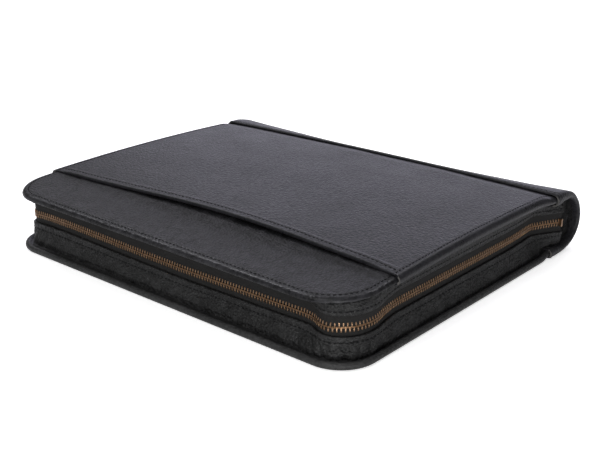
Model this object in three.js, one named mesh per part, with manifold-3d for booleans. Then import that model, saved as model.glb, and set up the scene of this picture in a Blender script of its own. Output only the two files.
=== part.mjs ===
// Zip-around leather organizer lying closed, in millimetres.
// +X runs along the long zipped edge, +Y from that edge to the spine, +Z up.
// The origin is the middle of the footprint, on the surface that the case lies on.

import * as THREE from 'three';
import { mergeVertices } from 'three/addons/utils/BufferGeometryUtils.js';
import Module from 'manifold-3d';

const wasm = await Module();
wasm.setup();

const { clamp, lerp, mapLinear, smoothstep } = THREE.MathUtils;

// Overall sizes
const LENGTH = 340;
const WIDTH = 294;
const NEAR_Y = -WIDTH / 2;
const GAP = 0.3;

// Thickness of each leather, board and tape
const COVER_T = 5.2;
const POCKET_T = 1.5;
const HEM_T = 2.6;
const SPINE_T = 1.8;
const GUSSET_T = 1.2;
const TAPE_T = 0.9;

// The two covers in plan
const RIM_R = COVER_T / 2;
const COVER_HALF = LENGTH / 2 - POCKET_T - GAP;
const HINGE_Y = NEAR_Y + 252;
const BOARD_END_Y = HINGE_Y + 5;
const FRONT = { half: COVER_HALF, nearY: NEAR_Y, cornerR: 38 };
const BACK = { half: COVER_HALF - 0.5, nearY: NEAR_Y + 4, cornerR: 28 };
const LEAST_CORNER_R = 2;
const SEAM_BAND = 10;

// Lie of the upper cover: it rises to the spine, is crowned and a little twisted
const NEAR_TOP = 47;
const REAR_RISE = 2.3;
const COVER_CROWN = 3.3;
const COVER_DOME = 2.5;
const HINGE_CROWN = 2.2;
const TWIST = 1.7;
const TWIST_PIVOT = 0.35;
const HINGE_DIP = 2.2;
const HINGE_DIP_Y = HINGE_Y - 12;

// Lift of the lower cover towards the spine, which is sewn under it
const BACK_LIFT = 2.5;
const BACK_LIFT_Y = HINGE_Y - 10;

// A cover from the middle of its outer face, over the rolled rim, to the inner face
const COVER_SECTION = [
  { inset: 115, depth: 0 },
  { inset: 60, depth: 0 },
  { inset: 36, depth: 0 },
  { inset: BOARD_END_Y - HINGE_DIP_Y, depth: 0 },
  { inset: SEAM_BAND, depth: 0 },
  { inset: BOARD_END_Y - HINGE_Y, depth: 0 },
  { inset: RIM_R, depth: 0 },
  { inset: 0.3 * RIM_R, depth: 0.3 * RIM_R },
  { inset: 0, depth: RIM_R },
  { inset: 0.3 * RIM_R, depth: COVER_T - 0.3 * RIM_R },
  { inset: RIM_R, depth: COVER_T },
  { inset: BOARD_END_Y - HINGE_Y, depth: COVER_T },
  { inset: SEAM_BAND, depth: COVER_T },
  { inset: BOARD_END_Y - HINGE_DIP_Y, depth: COVER_T },
  { inset: 36, depth: COVER_T },
  { inset: 60, depth: COVER_T },
  { inset: 115, depth: COVER_T },
];
const OUTLINE_STEPS = { arc: 8, near: 7, side: 6, sideEnd: 2, rear: 4 };
const SIDE_END_SHARE = 0.2;

// Slip pocket on the upper cover: its hemmed mouth runs a little askew, bowed and gaping
const MOUTH_LEFT_Y = NEAR_Y + 49.8;
const MOUTH_RIGHT_Y = NEAR_Y + 54.8;
const MOUTH_BOW = 4.2;
const MOUTH_LIFT = 2.3;
const MOUTH_LIFT_RUN = 60;
const GAPE_X = 22;
const GAPE_HALF = 170;
const POCKET_END_Y = HINGE_Y + 3;
const HEM_DEPTH = 9;
const HEM_STEP = 1.5;
const HEM_FADE = 30;
const WRAP_LIP = 7;
const POCKET_STEPS = { length: 7, across: 14, arc: 6 };

// Outer line of the spine, how far each point follows the cover's crown, and its sag mid-length
const SPINE = [
  { y: HINGE_Y, z: 51.2, follow: 1, sag: 0 },
  { y: 109, z: 51.2, follow: 1, sag: 1.1 },
  { y: 116, z: 50.9, follow: 0.95, sag: 3.4 },
  { y: 125, z: 49, follow: 0.9, sag: 5 },
  { y: 134, z: 45.6, follow: 0.7, sag: 4.6 },
  { y: 142, z: 38, follow: 0.4, sag: 2 },
  { y: 146, z: 30.5, follow: 0.15, sag: 0.5 },
  { y: WIDTH / 2, z: 24, follow: 0, sag: 0 },
  { y: 146, z: 17.5, follow: 0, sag: 0 },
  { y: 141.5, z: 10.5, follow: 0, sag: 0 },
  { y: 133, z: 4.8, follow: 0, sag: 0 },
  { y: 121, z: 1.8, follow: 0, sag: 0 },
  { y: 113, z: 0.8, follow: 0, sag: 0 },
  { y: HINGE_Y, z: 0.3, follow: 0, sag: 0 },
];
const SPINE_STEPS = { length: 10, around: 2 * (SPINE.length - 1) };

// Zipped wall between the covers
const SEAM_RECESS = 8.5;
const SEAM_R = { right: FRONT.cornerR - SEAM_RECESS, left: 16 };
const WALL_END_Y = HINGE_Y + 19;
const FOOT_DROP_Y = BOARD_END_Y + 3;
const ZIP_Z = 25.5;
const CHAIN_W = 6.2;
const CHAIN_T = 2.8;
const TAPE_SHOWS = 5.1;
const TAPE_OVERLAP = 5;
const TAPE_EDGE = CHAIN_W / 2 + GAP;
const GUSSET_EDGE = CHAIN_W / 2 + TAPE_SHOWS;
const TAPE_INSET = GUSSET_T + 2 * GAP;
const CHAIN_INSET = TAPE_INSET + TAPE_T / 2 - CHAIN_T / 2;

// The zip along the wall from the right end: how far it is tucked in behind the sewn line,
// its height against ZIP_Z, how far under it the lower gusset starts, and how far that
// gusset's foot stands out of the sewn line
const ZIP_LIE = [
  { at: 0, tuck: -7, height: -1, drop: 7.4, foot: 5 },
  { at: 12, tuck: -2, height: -0.4, drop: 7, foot: 5 },
  { at: 28, tuck: 4.5, height: 0, drop: 6.6, foot: 5 },
  { at: 45, tuck: 3, height: 0, drop: 6.4, foot: 5 },
  { at: 62, tuck: 2.2, height: 0, drop: 6.4, foot: 5 },
  { at: 205, tuck: 2.2, height: 0, drop: 6.4, foot: 5 },
  { at: 217, tuck: 0.6, height: -0.4, drop: 6.2, foot: 5 },
  { at: 228, tuck: -1.8, height: -0.9, drop: 5.8, foot: 5 },
  { at: 245, tuck: -1.2, height: -1.2, drop: 6, foot: 5.5 },
  { at: 262, tuck: 0.4, height: -1.4, drop: 5.4, foot: 2.8 },
  { at: 268, tuck: 2.6, height: -1.4, drop: 5.4, foot: 1.2 },
  { at: 274, tuck: 6, height: -1.3, drop: 5.4, foot: 0 },
  { at: 280, tuck: 9, height: -1.2, drop: 5.6, foot: -0.6 },
  { at: 288, tuck: 10.5, height: -1.2, drop: 5.8, foot: -1 },
  { at: 310, tuck: 10.5, height: -1.4, drop: 6.2, foot: -1.5 },
  { at: 400, tuck: 10.5, height: -2, drop: 6.6, foot: -1.5 },
  { at: 455, tuck: 10.5, height: -1.1, drop: 6.6, foot: -1.5 },
  { at: 521, tuck: 10.5, height: 0.2, drop: 6.6, foot: -2.5 },
  { at: 545, tuck: 10.5, height: 0.2, drop: 6.6, foot: -2.5 },
  { at: 559, tuck: 10.2, height: 0, drop: 6.6, foot: -1.5 },
  { at: 565, tuck: 8.6, height: -0.3, drop: 6.6, foot: -0.5 },
  { at: 569, tuck: 5.6, height: -0.5, drop: 6.6, foot: 0 },
  { at: 573, tuck: 1.4, height: -0.5, drop: 6.6, foot: 0 },
  { at: 578, tuck: -1.4, height: -0.5, drop: 6.6, foot: 0 },
  { at: 605, tuck: -1.5, height: -0.5, drop: 6.6, foot: 0 },
  { at: 650, tuck: 0, height: 0, drop: 8.6, foot: 0 },
];

// Stations along one half of the wall, closer where it bends
const STATION_SPANS = [
  { to: 60, step: 6 },
  { to: 200, step: 20 },
  { to: 300, step: 5 },
  { to: Infinity, step: 20 },
];

// Zip fittings at the two ends of the chain
const STOP = { length: 2, thickness: 3.6, corner: 0.6 };
const SLIDER = { length: 9, height: 9.4, plate: 1.4, postHeight: 5.4, postLength: 5, corner: 2 };
const SLIDER_END = 3;
const BRIDGE = { length: 4.6, height: 3.2, depth: 2.2, corner: 0.8 };
const PULL = { width: 5.6, length: 15, thickness: 1.4, hole: 1.5, corner: 2.4, proud: 0.2 };

// Leather folded across a spine end, in plan from the zip's end inwards
const SPINE_END = [
  { x: 163.5, y: WALL_END_Y + 0.4 },
  { x: 162.4, y: WALL_END_Y + 3 },
  { x: 162, y: 131 },
  { x: 162.2, y: 135 },
  { x: 162.5, y: 139 },
  { x: 162.6, y: 143 },
];

// Finishes
const COVER_LEATHER = { color: 0x2c2b2f, roughness: 0.55, metalness: 0 };
const GUSSET_LEATHER = { color: 0x1b1b1c, roughness: 0.5, metalness: 0 };
const TAPE_WEAVE = { color: 0x161617, roughness: 0.9, metalness: 0 };
const BRASS = { color: 0x9a7442, roughness: 0.35, metalness: 1 };

// A closed body of triangles, turned so that its faces point out
function closedBody(points, triangles) {
  let volume = 0;
  for (const [a, b, c] of triangles) {
    volume += points[a].dot(points[b].clone().cross(points[c]));
  }
  const outward = volume < 0 ? ([a, b, c]) => [a, c, b] : (corners) => corners;
  const geometry = new THREE.BufferGeometry();
  geometry.setFromPoints(points);
  geometry.setIndex(triangles.flatMap(outward));
  return geometry;
}

// A wall with two faces over a grid: pointsAt(i, j) gives its outer and inner point
function wall(rows, columns, pointsAt) {
  const outer = [];
  const inner = [];
  for (let i = 0; i <= rows; i++) {
    for (let j = 0; j <= columns; j++) {
      const [outerPoint, innerPoint] = pointsAt(i, j);
      outer.push(outerPoint);
      inner.push(innerPoint);
    }
  }
  const triangles = [];
  const quad = (a, b, c, d) => triangles.push([a, b, c], [a, c, d]);
  const out = (i, j) => i * (columns + 1) + j;
  const inn = (i, j) => outer.length + out(i, j);
  for (let i = 0; i < rows; i++) {
    for (let j = 0; j < columns; j++) {
      quad(out(i, j), out(i + 1, j), out(i + 1, j + 1), out(i, j + 1));
      quad(inn(i, j), inn(i, j + 1), inn(i + 1, j + 1), inn(i + 1, j));
    }
    quad(out(i, 0), inn(i, 0), inn(i + 1, 0), out(i + 1, 0));
    quad(out(i, columns), out(i + 1, columns), inn(i + 1, columns), inn(i, columns));
  }
  for (let j = 0; j < columns; j++) {
    quad(out(0, j), out(0, j + 1), inn(0, j + 1), inn(0, j));
    quad(out(rows, j), inn(rows, j), inn(rows, j + 1), out(rows, j + 1));
  }
  return closedBody([...outer, ...inner], triangles);
}

// A plate of nested rings, from the middle of one face over the rim to the other face
function plate(rings) {
  const count = rings[0].length;
  const points = rings.flat();
  const triangles = [];
  for (let i = 0; i + 1 < rings.length; i++) {
    for (let j = 0; j < count; j++) {
      const a = i * count + j;
      const b = i * count + ((j + 1) % count);
      triangles.push([a, b, b + count], [a, b + count, a + count]);
    }
  }
  const caps = [
    { ring: rings[0], first: 0, turned: true },
    { ring: rings.at(-1), first: points.length - count, turned: false },
  ];
  for (const { ring, first, turned } of caps) {
    const middle = new THREE.Vector3();
    ring.forEach((point) => middle.addScaledVector(point, 1 / count));
    const centre = points.push(middle) - 1;
    for (let j = 0; j < count; j++) {
      const a = first + j;
      const b = first + ((j + 1) % count);
      triangles.push(turned ? [b, a, centre] : [a, b, centre]);
    }
  }
  return closedBody(points, triangles);
}

// A column of the zip's table at a place along the wall
function zipLie(at, column) {
  const next = ZIP_LIE.findIndex((row) => row.at > at);
  if (next < 0) return ZIP_LIE.at(-1)[column];
  const [from, to] = [ZIP_LIE[next - 1], ZIP_LIE[next]];
  return mapLinear(at, from.at, to.at, from[column], to[column]);
}

// Share of a run that starts at one place, is whole at another and goes on past it
function ramp(y, start, whole) {
  return Math.max(0, (y - start) / (whole - start));
}

// Outer face of the upper cover, before it thins out at the hinge
function frontTop(x, y) {
  const across = (2 * x) / LENGTH;
  const along = (y - NEAR_Y) / (HINGE_Y - NEAR_Y);
  const inward = 1 - across ** 2;
  const crown = (COVER_CROWN + COVER_DOME * inward) * 4 * along * (1 - along);
  const hingeCrown = HINGE_CROWN * along * inward;
  const twist = TWIST * across * (along - TWIST_PIVOT);
  return NEAR_TOP + REAR_RISE * along + crown + hingeCrown + twist;
}

// A point of the upper cover or of what wraps it: up is 1 on its outer face, -1 on its
// inner face, and r is the distance from the middle of its thickness
function frontHeight(x, y, up, r) {
  const dip = HINGE_DIP * ramp(y, HINGE_DIP_Y, HINGE_Y);
  return frontTop(x, y) - RIM_R + up * r - dip * (1 + up) / 2;
}

// Outer face of the lower cover, flat on the surface except at the spine
function backBottom(y) {
  return BACK_LIFT * ramp(Math.min(y, BOARD_END_Y), BACK_LIFT_Y, HINGE_Y);
}

// Outline of a cover at an inset: two round near corners, sides that can bend at the lift
function coverOutline({ half, nearY, cornerR }, inset) {
  const x = half - inset;
  const near = nearY + inset;
  const rear = BOARD_END_Y - inset;
  const r = Math.max(cornerR - inset, LEAST_CORNER_R);
  const reachesLift = rear > BACK_LIFT_Y;
  const bend = reachesLift ? BACK_LIFT_Y : lerp(rear, near + r, SIDE_END_SHARE);
  const line = (x0, y0, x1, y1, steps) => ({
    curve: new THREE.LineCurve(new THREE.Vector2(x0, y0), new THREE.Vector2(x1, y1)),
    steps,
  });
  const arc = (cx, start, end) => ({
    curve: new THREE.EllipseCurve(cx, near + r, r, r, start, end, true),
    steps: OUTLINE_STEPS.arc,
  });
  const stretches = [
    line(0, rear, x, rear, OUTLINE_STEPS.rear),
    line(x, rear, x, bend, OUTLINE_STEPS.sideEnd),
    line(x, bend, x, near + r, OUTLINE_STEPS.side),
    arc(x - r, 0, -Math.PI / 2),
    line(x - r, near, r - x, near, OUTLINE_STEPS.near),
    arc(r - x, -Math.PI / 2, -Math.PI),
    line(-x, near + r, -x, bend, OUTLINE_STEPS.side),
    line(-x, bend, -x, rear, OUTLINE_STEPS.sideEnd),
    line(-x, rear, 0, rear, OUTLINE_STEPS.rear),
  ];
  return stretches.flatMap(({ curve, steps }) => curve.getPoints(steps).slice(0, -1));
}

function coverPlate(plan, heightAt) {
  return plate(COVER_SECTION.map(({ inset, depth }) => (
    coverOutline(plan, inset).map(({ x, y }) => new THREE.Vector3(x, y, heightAt(x, y, depth)))
  )));
}

function frontCover() {
  return coverPlate(FRONT, (x, y, depth) => frontHeight(x, y, 1 - depth / RIM_R, RIM_R));
}

function backCover() {
  return coverPlate(BACK, (x, y, depth) => backBottom(y) + depth);
}

// The pocket's section: up round one rim of the cover, over the face, down round the other.
// Each place is a centre in the middle of the cover's thickness and a direction out of it.
function pocketSection() {
  const centre = COVER_HALF - RIM_R;
  const side = (sign) => {
    const places = [{ x: sign * (COVER_HALF - WRAP_LIP), out: 0, up: -1 }];
    for (let i = 0; i < POCKET_STEPS.arc; i++) {
      const angle = -Math.PI / 2 + (Math.PI * i) / POCKET_STEPS.arc;
      places.push({ x: sign * centre, out: sign * Math.cos(angle), up: Math.sin(angle) });
    }
    return places;
  };
  const face = [];
  for (let i = 0; i <= POCKET_STEPS.across; i++) {
    face.push({ x: lerp(-centre, centre, i / POCKET_STEPS.across), out: 0, up: 1 });
  }
  return [...side(-1), ...face, ...side(1).reverse()];
}

// How far the mouth gapes at a place across it, from 0 to 1
function gape(x) {
  const away = Math.min(1, Math.abs(x - GAPE_X) / GAPE_HALF);
  const atRim = smoothstep(Math.abs(x), COVER_HALF - HEM_FADE, COVER_HALF - RIM_R);
  return Math.cos((away * Math.PI) / 2) ** 2 * (1 - atRim);
}

function mouthY(x) {
  return lerp(MOUTH_LEFT_Y, MOUTH_RIGHT_Y, x / LENGTH + 0.5) + MOUTH_BOW * gape(x);
}

// How far the pocket stands off the cover at a depth behind its mouth
function mouthLift(x, depth) {
  return MOUTH_LIFT * gape(x) * (1 - smoothstep(depth, 0, MOUTH_LIFT_RUN));
}

// Extra thickness of the turned hem
function hemThickness(x, depth) {
  const along = 1 - smoothstep(depth, HEM_DEPTH - HEM_STEP, HEM_DEPTH);
  const atRim = smoothstep(Math.abs(x), COVER_HALF - HEM_FADE, COVER_HALF - RIM_R);
  return (HEM_T - POCKET_T) * along * (1 - atRim);
}

// Places along the pocket from its mouth to its rear end, at one place across it
function pocketLengths(x) {
  const mouth = mouthY(x);
  const hemEnd = mouth + HEM_DEPTH;
  const lengths = [mouth, hemEnd - HEM_STEP];
  for (let i = 0; i <= POCKET_STEPS.length; i++) {
    lengths.push(lerp(hemEnd, HINGE_DIP_Y, i / POCKET_STEPS.length));
  }
  return [...lengths, HINGE_Y, POCKET_END_Y];
}

function frontPocket() {
  const section = pocketSection().map((place) => ({ ...place, lengths: pocketLengths(place.x) }));
  return wall(section[0].lengths.length - 1, section.length - 1, (i, j) => {
    const { x, out, up, lengths } = section[j];
    const y = lengths[i];
    const depth = y - lengths[0];
    const onFace = up === 1;
    const innerR = RIM_R + GAP + (onFace ? mouthLift(x, depth) : 0);
    const outerR = innerR + POCKET_T + (onFace ? hemThickness(x, depth) : 0);
    return [outerR, innerR].map((r) => {
      const z = frontHeight(x + out * RIM_R, y, up, r);
      return new THREE.Vector3(x + out * r, y, z);
    });
  });
}

// The spine's outer line and its inward direction at one place along its length
function spineLine(x) {
  const rise = frontTop(x, HINGE_Y) - (NEAR_TOP + REAR_RISE);
  const slack = 1 - ((2 * x) / LENGTH) ** 2;
  const curve = new THREE.SplineCurve(SPINE.map(({ y, z, follow, sag }) => (
    new THREE.Vector2(y, z + follow * rise - sag * slack)
  )));
  const places = [];
  for (let i = 0; i <= SPINE_STEPS.around; i++) {
    const point = curve.getPoint(i / SPINE_STEPS.around);
    const tangent = curve.getTangent(i / SPINE_STEPS.around);
    places.push({ point, inward: new THREE.Vector2(tangent.y, -tangent.x) });
  }
  return places;
}

function spineWall() {
  const ends = LENGTH / 2;
  const lines = [];
  for (let i = 0; i <= SPINE_STEPS.length; i++) {
    const x = lerp(-ends, ends, i / SPINE_STEPS.length);
    lines.push({ x, places: spineLine(x) });
  }
  return wall(SPINE_STEPS.length, SPINE_STEPS.around, (i, j) => {
    const { x, places } = lines[i];
    const { point, inward } = places[j];
    const inside = point.clone().addScaledVector(inward, SPINE_T);
    return [point, inside].map((p) => new THREE.Vector3(x, p.x, p.y));
  });
}

// Lowest and highest point inside the spine at a place
function insideSpine(x, y) {
  const inside = spineLine(x).map(({ point, inward }) => (
    point.clone().addScaledVector(inward, SPINE_T)
  ));
  const crossings = [];
  for (let i = 0; i + 1 < inside.length; i++) {
    const [a, b] = [inside[i], inside[i + 1]];
    if ((a.x - y) * (b.x - y) < 0) crossings.push(lerp(a.y, b.y, (y - a.x) / (b.x - a.x)));
  }
  return { low: Math.min(...crossings), high: Math.max(...crossings) };
}

function spineEnd(sign) {
  const spans = SPINE_END.map(({ x, y }) => insideSpine(sign * x, y));
  return wall(SPINE_END.length - 1, 1, (i, j) => {
    const place = SPINE_END[i];
    const before = SPINE_END[Math.max(i - 1, 0)];
    const after = SPINE_END[Math.min(i + 1, SPINE_END.length - 1)];
    const side = new THREE.Vector2(after.y - before.y, before.x - after.x).normalize();
    const z = j ? spans[i].high - 2 * GAP : spans[i].low + 2 * GAP;
    return [GUSSET_T, 0].map((t) => (
      new THREE.Vector3(sign * (place.x + side.x * t), place.y + side.y * t, z)
    ));
  });
}

// Sewn line of the wall in plan, from the right end round the near edge to the left end
function sewnLine() {
  const x = COVER_HALF - SEAM_RECESS;
  const near = NEAR_Y + SEAM_RECESS;
  const { right, left } = SEAM_R;
  const line = (x0, y0, x1, y1) => (
    new THREE.LineCurve(new THREE.Vector2(x0, y0), new THREE.Vector2(x1, y1))
  );
  const arc = (centreX, r, start, end) => (
    new THREE.EllipseCurve(centreX, near + r, r, r, start, end, true)
  );
  const path = new THREE.CurvePath();
  path.add(line(x, WALL_END_Y, x, near + right));
  path.add(arc(x - right, right, 0, -Math.PI / 2));
  path.add(line(x - right, near, left - x, near));
  path.add(arc(left - x, left, -Math.PI / 2, -Math.PI));
  path.add(line(-x, near + left, -x, WALL_END_Y));
  return path;
}

const SEWN_LINE = sewnLine();
const WALL_LENGTH = SEWN_LINE.getLength();

function wallStations(start, end) {
  const half = [0];
  for (const { to, step } of STATION_SPANS) {
    while (half.at(-1) + step < Math.min(to, WALL_LENGTH / 2)) half.push(half.at(-1) + step);
  }
  const whole = [...half, ...half.map((at) => WALL_LENGTH - at).reverse()];
  return [start, ...whole.filter((at) => at > start + 1 && at < end - 1), end];
}

// Heights of the wall at a station: where it meets the covers, the zip, the gussets' edges
function wallHeights(point, at) {
  const zip = ZIP_Z + zipLie(at, 'height');
  const onBoard = backBottom(point.y) + COVER_T + GAP;
  const pastBoard = ramp(point.y, FOOT_DROP_Y, WALL_END_Y);
  const inSpine = pastBoard ? insideSpine(point.x, point.y).low + 2 * GAP : onBoard;
  return {
    top: frontTop(point.x, point.y) - COVER_T - GAP,
    upperEdge: zip + GUSSET_EDGE,
    zip,
    lowerEdge: zip - zipLie(at, 'drop'),
    foot: lerp(onBoard, inSpine, pastBoard),
  };
}

// A strip of the zipped wall between heights, a thickness of it from an inset inwards.
// heightsAt gives its heights from those of the wall at a station, from top to bottom.
function wallStrip({ heightsAt, inset, thickness, start = 0, end = WALL_LENGTH }) {
  const stations = wallStations(start, end).map((at) => {
    const point = SEWN_LINE.getPoint(at / WALL_LENGTH);
    const tangent = SEWN_LINE.getTangent(at / WALL_LENGTH);
    const limits = wallHeights(point, at);
    return {
      point,
      inward: new THREE.Vector2(tangent.y, -tangent.x),
      tuck: zipLie(at, 'tuck'),
      foot: zipLie(at, 'foot'),
      limits,
      heights: heightsAt(limits),
    };
  });
  return wall(stations.length - 1, stations[0].heights.length - 1, (i, j) => {
    const { point, inward, tuck, foot, limits, heights } = stations[i];
    const z = heights[j];
    const upper = clamp((limits.top - z) / (limits.top - limits.upperEdge), 0, 1);
    const lower = clamp((z - limits.foot) / (limits.lowerEdge - limits.foot), 0, 1);
    const offset = tuck * Math.min(upper, lower) - foot * (1 - lower) ** 2 + inset;
    return [offset, offset + thickness].map((d) => {
      const place = point.clone().addScaledVector(inward, d);
      return new THREE.Vector3(place.x, place.y, z);
    });
  });
}

function upperGusset() {
  const heightsAt = ({ top, upperEdge }) => [top, (top + upperEdge) / 2, upperEdge];
  return wallStrip({ heightsAt, inset: 0, thickness: GUSSET_T });
}

function lowerGusset() {
  const heightsAt = ({ lowerEdge, foot }) => [lowerEdge, (lowerEdge + foot) / 2, foot];
  return wallStrip({ heightsAt, inset: 0, thickness: GUSSET_T });
}

function upperZipTape() {
  const heightsAt = ({ zip, upperEdge }) => [upperEdge + TAPE_OVERLAP, upperEdge, zip + TAPE_EDGE];
  return wallStrip({ heightsAt, inset: TAPE_INSET, thickness: TAPE_T });
}

function lowerZipTape() {
  const heightsAt = ({ zip, lowerEdge }) => [zip - TAPE_EDGE, lowerEdge, lowerEdge - TAPE_OVERLAP];
  return wallStrip({ heightsAt, inset: TAPE_INSET, thickness: TAPE_T });
}

function zipChain() {
  const heightsAt = ({ zip }) => [zip + CHAIN_W / 2, zip - CHAIN_W / 2];
  const start = STOP.length + 2 * GAP;
  const end = WALL_LENGTH - SLIDER_END - SLIDER.length - GAP;
  return wallStrip({ heightsAt, inset: CHAIN_INSET, thickness: CHAIN_T, start, end });
}

// A flat block with round corners in the YZ plane, lying between two depths along X
function block({ y = 0, z = 0, length, height, from, to, corner, hole }) {
  const [w, h] = [length / 2, height / 2];
  const shape = new THREE.Shape();
  shape.absarc(w - corner, h - corner, corner, 0, Math.PI / 2);
  shape.absarc(corner - w, h - corner, corner, Math.PI / 2, Math.PI);
  shape.absarc(corner - w, corner - h, corner, Math.PI, 1.5 * Math.PI);
  shape.absarc(w - corner, corner - h, corner, 1.5 * Math.PI, 2 * Math.PI);
  shape.closePath();
  if (hole) {
    const round = new THREE.Path();
    round.absarc(0, hole.z, hole.r, 0, 2 * Math.PI, true);
    shape.holes.push(round);
  }
  const geometry = new THREE.ExtrudeGeometry(shape, {
    depth: to - from,
    bevelEnabled: false,
    curveSegments: 4,
  });
  geometry.applyMatrix4(new THREE.Matrix4().makeBasis(
    new THREE.Vector3(0, 1, 0),
    new THREE.Vector3(0, 0, 1),
    new THREE.Vector3(1, 0, 0),
  ));
  return geometry.translate(from, y, z);
}

function solid(geometry) {
  const bare = geometry.clone();
  bare.deleteAttribute('normal');
  bare.deleteAttribute('uv');
  const merged = mergeVertices(bare, 1e-4);
  return new wasm.Manifold(new wasm.Mesh({
    numProp: 3,
    vertProperties: new Float32Array(merged.attributes.position.array),
    triVerts: new Uint32Array(merged.index.array),
  }));
}

function fused(geometries) {
  const mesh = geometries.map(solid).reduce((sum, next) => sum.add(next)).getMesh();
  const geometry = new THREE.BufferGeometry();
  geometry.setAttribute('position', new THREE.BufferAttribute(mesh.vertProperties, mesh.numProp));
  geometry.setIndex(new THREE.BufferAttribute(mesh.triVerts, 1));
  return geometry;
}

function zipEndStop() {
  const { length, thickness, corner } = STOP;
  return block({ length, height: CHAIN_W, from: -thickness / 2, to: thickness / 2, corner });
}

// Slider with its pull, measured outwards along -X from the outer face of the tapes
function zipSlider() {
  const { length, height, plate: plateT, postHeight, postLength, corner } = SLIDER;
  const outerPlate = { from: -GAP - plateT, to: -GAP };
  const innerPlate = { from: TAPE_T + GAP, to: TAPE_T + GAP + plateT };
  const bridge = { from: outerPlate.from - BRIDGE.depth, to: outerPlate.from + plateT / 2 };
  const pull = { from: bridge.from - PULL.proud, to: bridge.from - PULL.proud + PULL.thickness };
  const hole = { r: PULL.hole, z: PULL.hole - PULL.length / 2 + PULL.thickness };
  return fused([
    block({ length, height, corner, ...outerPlate }),
    block({ length, height, corner, ...innerPlate }),
    block({ length: postLength, height: postHeight, corner, from: outerPlate.from, to: innerPlate.to }),
    block({ length: BRIDGE.length, height: BRIDGE.height, corner: BRIDGE.corner, ...bridge }),
    block({
      z: BRIDGE.height / 2 - PULL.length / 2,
      length: PULL.width,
      height: PULL.length,
      corner: PULL.corner,
      hole,
      ...pull,
    }),
  ]);
}

const organizer = new THREE.Group();

function addPiece(name, geometry, finish) {
  const piece = new THREE.Mesh(geometry, new THREE.MeshStandardMaterial(finish));
  piece.name = name;
  organizer.add(piece);
  return piece;
}

addPiece('front_cover', frontCover(), COVER_LEATHER);
addPiece('front_pocket', frontPocket(), COVER_LEATHER);
addPiece('spine', spineWall(), COVER_LEATHER);
addPiece('back_cover', backCover(), COVER_LEATHER);
addPiece('upper_gusset', upperGusset(), GUSSET_LEATHER);
addPiece('lower_gusset', lowerGusset(), GUSSET_LEATHER);
addPiece('upper_zip_tape', upperZipTape(), TAPE_WEAVE);
addPiece('lower_zip_tape', lowerZipTape(), TAPE_WEAVE);
addPiece('zip_chain', zipChain(), BRASS);
addPiece('spine_end_right', spineEnd(1), GUSSET_LEATHER);
addPiece('spine_end_left', spineEnd(-1), GUSSET_LEATHER);

const wallX = COVER_HALF - SEAM_RECESS;
const stopX = wallX - zipLie(0, 'tuck') - CHAIN_INSET - CHAIN_T / 2;
const stopY = WALL_END_Y - STOP.length / 2 - GAP;
addPiece('zip_end_stop', zipEndStop(), BRASS).position.set(stopX, stopY, ZIP_Z + zipLie(0, 'height'));

const sliderY = WALL_END_Y - SLIDER_END - SLIDER.length / 2;
addPiece('zip_slider', zipSlider(), BRASS).position.set(TAPE_INSET - wallX, sliderY, ZIP_Z);

export default organizer;
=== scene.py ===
"""Finish of a zip-around leather organizer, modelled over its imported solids."""

import math

import bmesh
import bpy
import numpy as np
from mathutils import Matrix, Vector, noise


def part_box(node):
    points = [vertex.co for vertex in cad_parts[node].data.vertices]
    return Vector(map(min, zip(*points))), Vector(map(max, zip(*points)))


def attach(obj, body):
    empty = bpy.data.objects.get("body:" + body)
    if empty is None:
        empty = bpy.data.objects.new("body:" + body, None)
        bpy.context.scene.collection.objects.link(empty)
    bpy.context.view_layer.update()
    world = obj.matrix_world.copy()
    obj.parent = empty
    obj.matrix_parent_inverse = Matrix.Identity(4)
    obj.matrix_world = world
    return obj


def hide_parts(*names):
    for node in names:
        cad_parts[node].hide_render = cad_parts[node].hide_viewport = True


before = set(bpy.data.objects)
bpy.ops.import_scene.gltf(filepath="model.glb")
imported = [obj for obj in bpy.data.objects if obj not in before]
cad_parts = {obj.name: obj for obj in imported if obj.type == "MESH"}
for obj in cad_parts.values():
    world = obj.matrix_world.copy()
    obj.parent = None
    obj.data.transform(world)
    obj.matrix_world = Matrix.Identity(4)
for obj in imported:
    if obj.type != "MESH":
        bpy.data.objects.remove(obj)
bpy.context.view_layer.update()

# Sizes are in millimetres until a piece is finished
MM = 0.001


def box_mm(node):
    return [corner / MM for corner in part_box(node)]


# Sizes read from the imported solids
COVER_LOW, COVER_HIGH = box_mm("front_cover")
BACK_LOW, BACK_HIGH = box_mm("back_cover")
SPINE_HALF = box_mm("spine")[1].x
NOSE_Y = box_mm("spine")[1].y
LENGTH = 2 * SPINE_HALF
NEAR_Y = COVER_LOW.y
COVER_HALF = COVER_HIGH.x
BOARD_END_Y = COVER_HIGH.y
POCKET_END_Y = box_mm("front_pocket")[1].y

# Thicknesses and gaps; the upper rim is drawn in by RIM_BACK and pressed thinner by RIM_PRESS
GAP = 0.3
RIM_R = 2.6
RIM_BACK = 2.2
RIM_PRESS = 1.4
UNDER_ROLL = 0.8
POCKET_ROLL = 1.6
POCKET_T = 1.5
HEM_T = 2.6
SPINE_T = 1.8
WRAP_T = 1.3
GUSSET_T = 1.2
TAPE_T = 0.9

# Lie of the covers
HINGE_Y = NEAR_Y + 252
FRONT_CORNER_R = 38
BACK_CORNER_R = 28
NEAR_TOP = 47
REAR_RISE = 2.3
COVER_CROWN = 3.3
COVER_DOME = 2.5
HINGE_CROWN = 2.2
TWIST = 1.7
TWIST_PIVOT = 0.35
HINGE_DIP = 2.2
HINGE_DIP_Y = HINGE_Y - 12
BACK_LIFT = 2.5
BACK_LIFT_Y = HINGE_Y - 10

# Groove behind the lower cover's rim, where the gusset is sewn in: insets and depths
GROOVE = 2.2
GROOVE_ROWS = [(3.2, 0.15), (4, GROOVE - 0.6), (4.5, GROOVE), (11, GROOVE), (12, 0), (14, 0)]

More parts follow.
